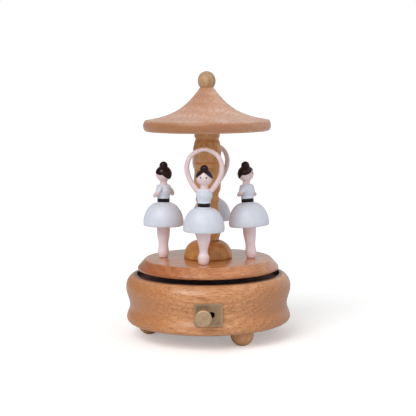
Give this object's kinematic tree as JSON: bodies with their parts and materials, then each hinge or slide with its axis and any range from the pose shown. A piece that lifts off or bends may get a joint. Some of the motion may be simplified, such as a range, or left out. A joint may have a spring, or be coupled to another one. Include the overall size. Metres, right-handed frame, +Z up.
{
  "type": "music box carousel",
  "caption": "Round wooden music box with a wind-up movement that turns a roofed carousel of painted dancers.",
  "frame": {"origin": "on the turntable's axis, in the plane of the surface that the three ball feet stand on", "axes": "+Z up along the turntable's axis, the front with the start and stop knob looks along -Y, +X to the viewer's right"},
  "size_m": [0.1152, 0.1269, 0.1843],
  "materials": {
    "beech": "clear lacquered beech, satin",
    "pale_beech": "clear lacquered beech, satin to gloss",
    "golden_beech": "golden stained beech, lacquered",
    "pale_wood": "pale lacquered wood",
    "old_brass": "pale antique brass, satin",
    "brass": "bright turned brass",
    "steel": "plain steel",
    "cast_zinc": "die-cast zinc, plain",
    "skin_paint": "pale pink paint on turned wood, eggshell",
    "skin_arms": "pale pink paint on moulded arms, eggshell",
    "dress_paint": "cool white paint on turned wood, eggshell",
    "hair_gloss": "moulded, gloss brown-black",
    "sash_gloss": "gloss black band"
  },
  "bodies": {
    "base": {"base_ring": "beech", "deck_board": "beech", "bottom_cover": "pale_beech", "cover_screws": "steel", "ball_feet": "pale_wood", "switch_plate": "old_brass", "bedplate": "cast_zinc", "bedplate_screws": "steel", "comb": "steel", "comb_screws": "brass", "cylinder_bearings": "brass", "governor_frame": "brass", "clutch_spring": "steel"},
    "carousel": {"spring_barrel": "brass", "mainspring": "steel", "spindle": "steel", "turntable_bush": "brass", "turntable": "pale_beech", "column_foot": "golden_beech", "column": "golden_beech", "centre_dowel": "pale_wood", "roof": "pale_beech", "finial": "pale_wood", "sashes": "sash_gloss", "front_legs": "skin_paint", "front_skirt": "dress_paint", "front_bodice": "dress_paint", "front_head": "skin_paint", "front_hair": "hair_gloss", "front_arms": "skin_arms", "right_legs": "skin_paint", "right_skirt": "dress_paint", "right_bodice": "dress_paint", "right_head": "skin_paint", "right_hair": "hair_gloss", "right_arms": "skin_arms", "back_legs": "skin_paint", "back_skirt": "dress_paint", "back_bodice": "dress_paint", "back_head": "skin_paint", "back_hair": "hair_gloss", "back_arms": "skin_arms", "left_legs": "skin_paint", "left_skirt": "dress_paint", "left_bodice": "dress_paint", "left_head": "skin_paint", "left_hair": "hair_gloss", "left_arms": "skin_arms"},
    "winding": {"winding_arbor": "steel", "winding_key": "steel"},
    "cylinder": {"cylinder_drum": "brass", "cylinder_arbor": "steel", "cylinder_wheel": "brass"},
    "second_wheel": {"second_arbor": "steel", "worm_wheel": "brass"},
    "governor": {"worm": "steel", "fly": "brass"},
    "switch": {"switch_knob": "old_brass", "stop_wire": "steel"}
  },
  "joints": [
    {"name": "turntable_spin", "type": "hinge", "parent": "base", "child": "carousel", "pos_m": [0, 0, 0.05], "axis": [0, 0, 1], "continuous": true},
    {"name": "winding", "type": "hinge", "parent": "base", "child": "winding", "pos_m": [0, 0, 0.01], "axis": [0, 0, 1], "continuous": true},
    {"name": "cylinder_spin", "type": "hinge", "parent": "base", "child": "cylinder", "pos_m": [0.025, 0, 0.0236], "axis": [1, 0, 0], "continuous": true},
    {"name": "second_spin", "type": "hinge", "parent": "base", "child": "second_wheel", "pos_m": [0.035, 0.0084, 0.0236], "axis": [1, 0, 0], "continuous": true},
    {"name": "fly_spin", "type": "hinge", "parent": "base", "child": "governor", "pos_m": [0.0379, 0.0134, 0.03], "axis": [0, 0, 1], "continuous": true},
    {"name": "switch_slide", "type": "slide", "parent": "base", "child": "switch", "axis": [1, 0, 0], "range_m": [0, 0.0055]}
  ],
  "couplings": [
    {"joint": "cylinder_spin", "follows": "turntable_spin", "ratio": 4},
    {"joint": "second_spin", "follows": "turntable_spin", "ratio": -12},
    {"joint": "fly_spin", "follows": "turntable_spin", "ratio": 240}
  ]
}
